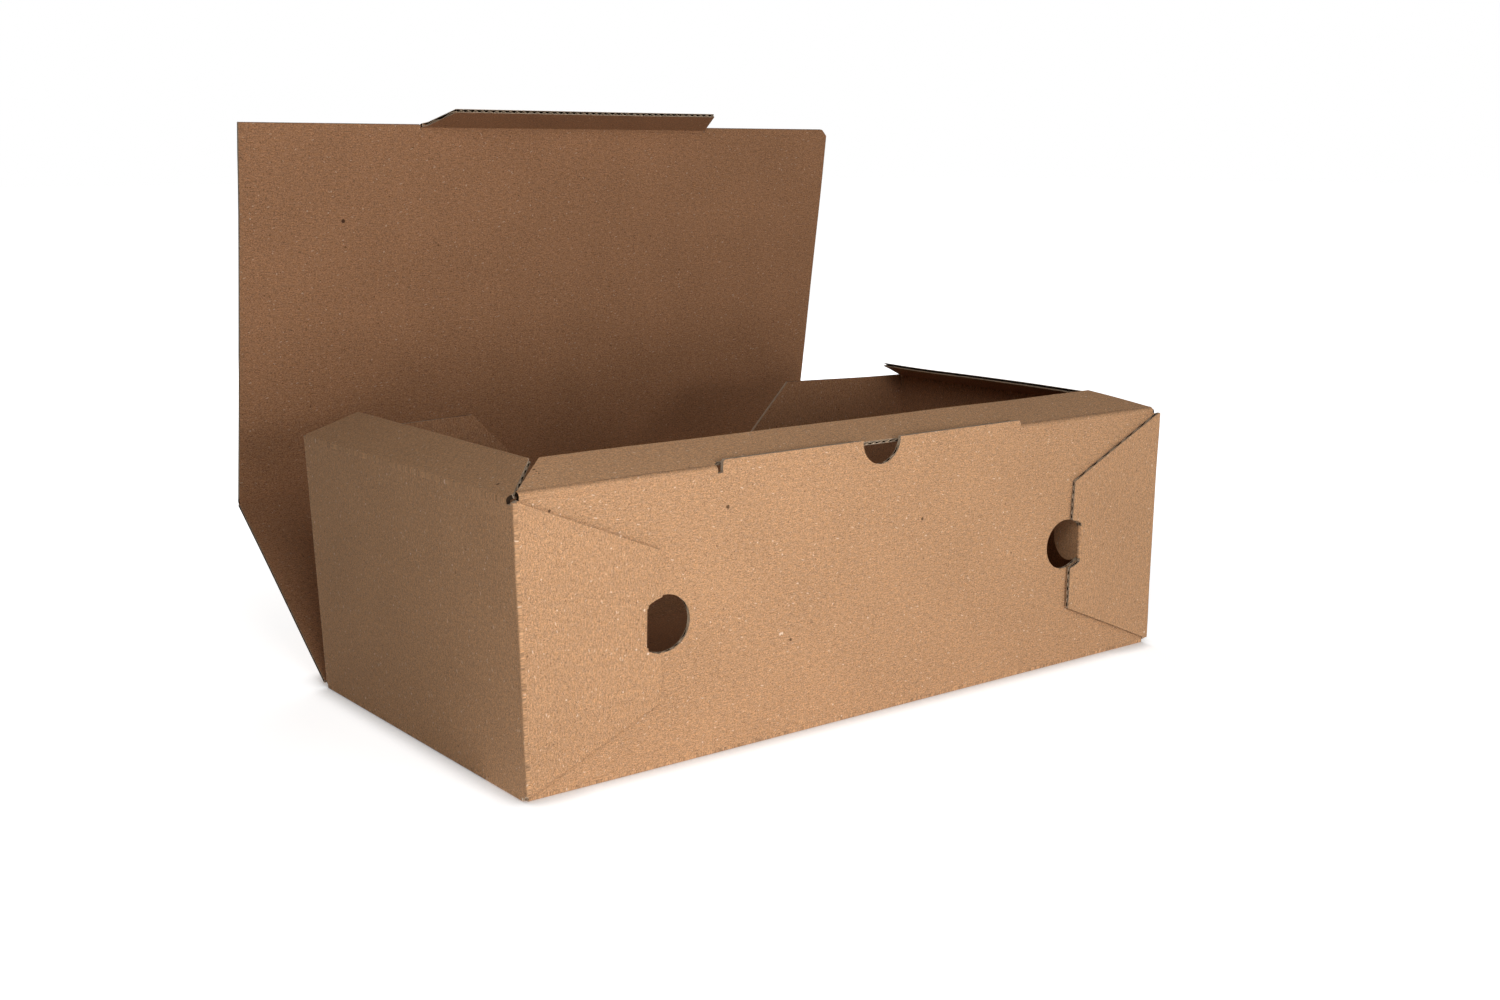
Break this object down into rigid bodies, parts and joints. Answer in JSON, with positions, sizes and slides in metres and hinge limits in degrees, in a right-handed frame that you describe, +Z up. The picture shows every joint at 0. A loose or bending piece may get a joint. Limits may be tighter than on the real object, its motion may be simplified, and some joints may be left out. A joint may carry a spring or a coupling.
{
  "type": "calzone box",
  "caption": "Open one-piece folding carton of thin fluted board for a calzone: shallow rectangular tray with locked front corners, hinged back wall, lid, tuck flap and narrow top ledges.",
  "frame": {"origin": "middle of the base's underside, at the height of the floor", "axes": "+X to the right along the front wall, +Y from the front wall to the back wall, +Z up"},
  "size_m": [0.3051, 0.2412, 0.2208],
  "materials": {
    "board": "uncoated brown kraft, fluted"
  },
  "bodies": {
    "tray": {"tray": "board"},
    "back_wall": {"back_wall": "board"},
    "lid": {"lid": "board"},
    "tuck_flap": {"tuck_flap": "board"},
    "front_ledge": {"front_ledge": "board"},
    "left_ledge": {"left_ledge": "board"},
    "right_ledge": {"right_ledge": "board"}
  },
  "joints": [
    {"name": "back_wall_fold", "type": "hinge", "parent": "tray", "child": "back_wall", "pos_m": [0, 0.07695, 0.00075], "axis": [1, 0, 0], "range_deg": [-35.6, 53.05]},
    {"name": "lid_fold", "type": "hinge", "parent": "back_wall", "child": "lid", "pos_m": [0, 0.15932, 0.05972], "axis": [1, 0, 0], "range_deg": [-63, 28.35]},
    {"name": "tuck_fold", "type": "hinge", "parent": "lid", "child": "tuck_flap", "pos_m": [0.00201, 0.13596, 0.21417], "axis": [1, 0, 0], "range_deg": [-63.5, 28.5]},
    {"name": "front_ledge_fold", "type": "hinge", "parent": "tray", "child": "front_ledge", "pos_m": [0, -0.0787, 0.10022], "axis": [-1, 0, 0], "range_deg": [-71.5, 20.5]},
    {"name": "left_ledge_fold", "type": "hinge", "parent": "tray", "child": "left_ledge", "pos_m": [-0.15385, 0, 0.09925], "axis": [0, 1, 0], "range_deg": [-68.9, 23.5]},
    {"name": "right_ledge_fold", "type": "hinge", "parent": "tray", "child": "right_ledge", "pos_m": [0.14753, 0, 0.09925], "axis": [0, -1, 0], "range_deg": [-69.4, 19.3]}
  ]
}
